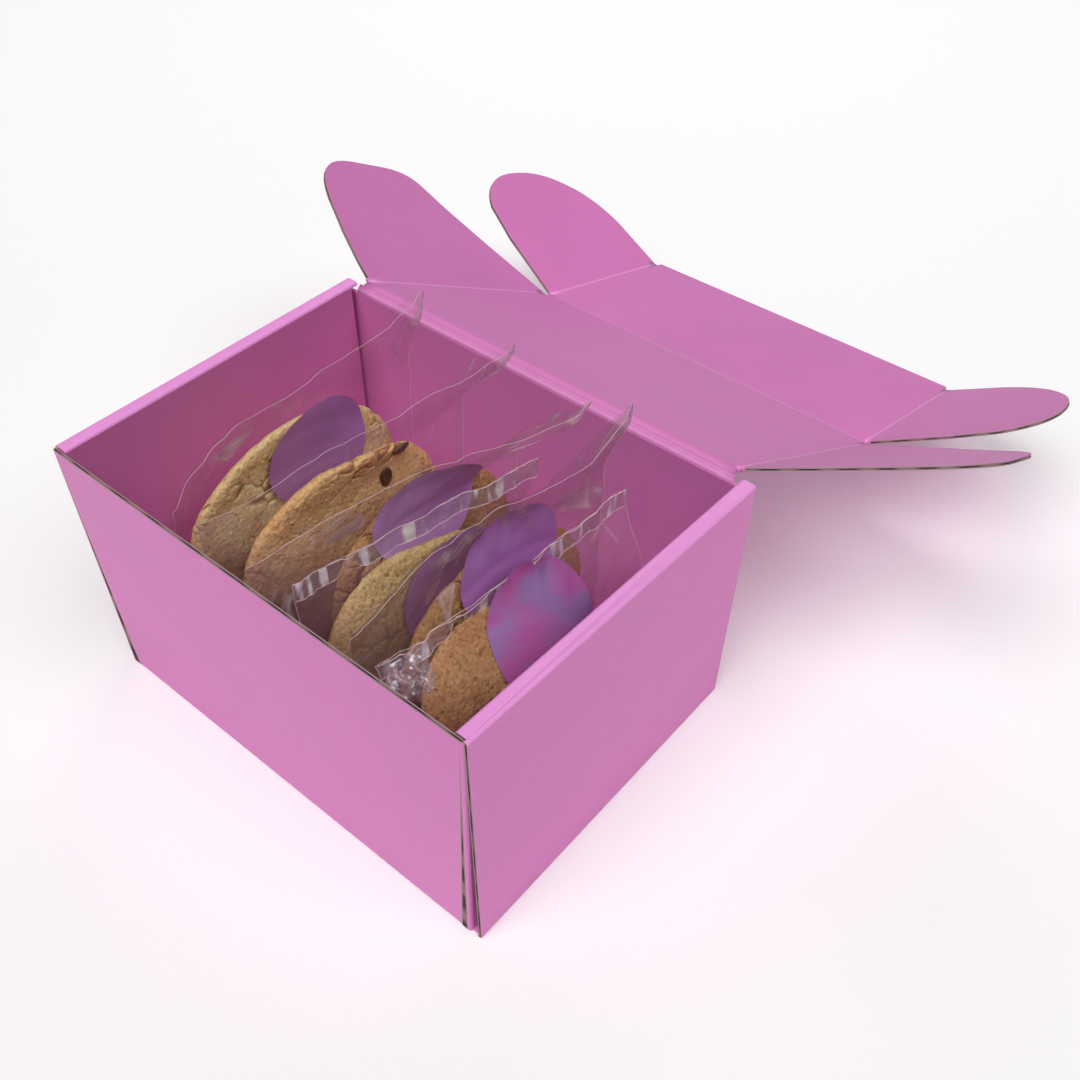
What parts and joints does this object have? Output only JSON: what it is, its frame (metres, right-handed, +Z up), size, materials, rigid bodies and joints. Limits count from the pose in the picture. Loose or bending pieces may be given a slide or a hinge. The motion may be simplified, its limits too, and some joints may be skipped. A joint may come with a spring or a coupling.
{
  "type": "box of cookies",
  "caption": "Open pink mailer box of folded corrugated board with big cookies standing on edge inside, each in a clear bag with a round label.",
  "frame": {"origin": "centre of the box's underside, on the surface it stands on", "axes": "+Z up; the front wall faces -Y and the lid is hinged on the wall at +Y; the cookies stand in a row along X"},
  "size_m": [0.3449, 0.3799, 0.143],
  "materials": {
    "board": "matte pink print on fluted board",
    "bagged_cookie": "clear film over a golden brown cookie",
    "film": "clear glossy film",
    "label": "satin purple paper"
  },
  "bodies": {
    "box": {"tray": "board", "bag_1": "bagged_cookie", "bag_2": "bagged_cookie", "bag_3": "bagged_cookie", "bag_4": "bagged_cookie", "bag_5": "bagged_cookie", "bag_6": "bagged_cookie", "bag_1_lip": "film", "bag_2_lip": "film", "bag_3_lip": "film", "bag_5_lip": "film", "label_1": "label", "label_3": "label", "label_4": "label", "label_5": "label", "label_6": "label"},
    "crease_strip": {"hinge_strip": "board"},
    "lid": {"lid_panel": "board"},
    "tuck": {"tuck_panel": "board"},
    "lid_ear_left": {"lid_ear_left": "board"},
    "lid_ear_right": {"lid_ear_right": "board"},
    "tuck_ear_left": {"tuck_ear_left": "board"},
    "tuck_ear_right": {"tuck_ear_right": "board"}
  },
  "joints": [
    {"name": "hinge_crease", "type": "hinge", "parent": "box", "child": "crease_strip", "pos_m": [0, 0.07425, 0.117], "axis": [1, 0, 0], "range_deg": [-1, 71]},
    {"name": "lid_crease", "type": "hinge", "parent": "crease_strip", "child": "lid", "pos_m": [0, 0.07841, 0.11843], "axis": [1, 0, 0], "range_deg": [-1.4, 137.5], "deforming": ["bag_1_lip", "bag_2_lip", "bag_3_lip", "bag_5_lip"]},
    {"name": "tuck_fold", "type": "hinge", "parent": "lid", "child": "tuck", "pos_m": [0, 0.20303, 0.05162], "axis": [1, 0, 0], "range_deg": [-13, 77]},
    {"name": "lid_ear_left_fold", "type": "hinge", "parent": "lid", "child": "lid_ear_left", "pos_m": [-0.0955, 0.07877, 0.11909], "axis": [0, 0.8788, -0.4772], "range_deg": [-25, 65]},
    {"name": "lid_ear_right_fold", "type": "hinge", "parent": "lid", "child": "lid_ear_right", "pos_m": [0.0955, 0.07877, 0.11909], "axis": [0, -0.8788, 0.4772], "range_deg": [-24.4, 65.6]},
    {"name": "tuck_ear_left_fold", "type": "hinge", "parent": "tuck", "child": "tuck_ear_left", "pos_m": [-0.09385, 0.20303, 0.05162], "axis": [0, 0.9636, -0.2672], "range_deg": [-31.3, 58.7]},
    {"name": "tuck_ear_right_fold", "type": "hinge", "parent": "tuck", "child": "tuck_ear_right", "pos_m": [0.09385, 0.20303, 0.05162], "axis": [0, -0.9636, 0.2672], "range_deg": [-29.2, 60.8]}
  ]
}
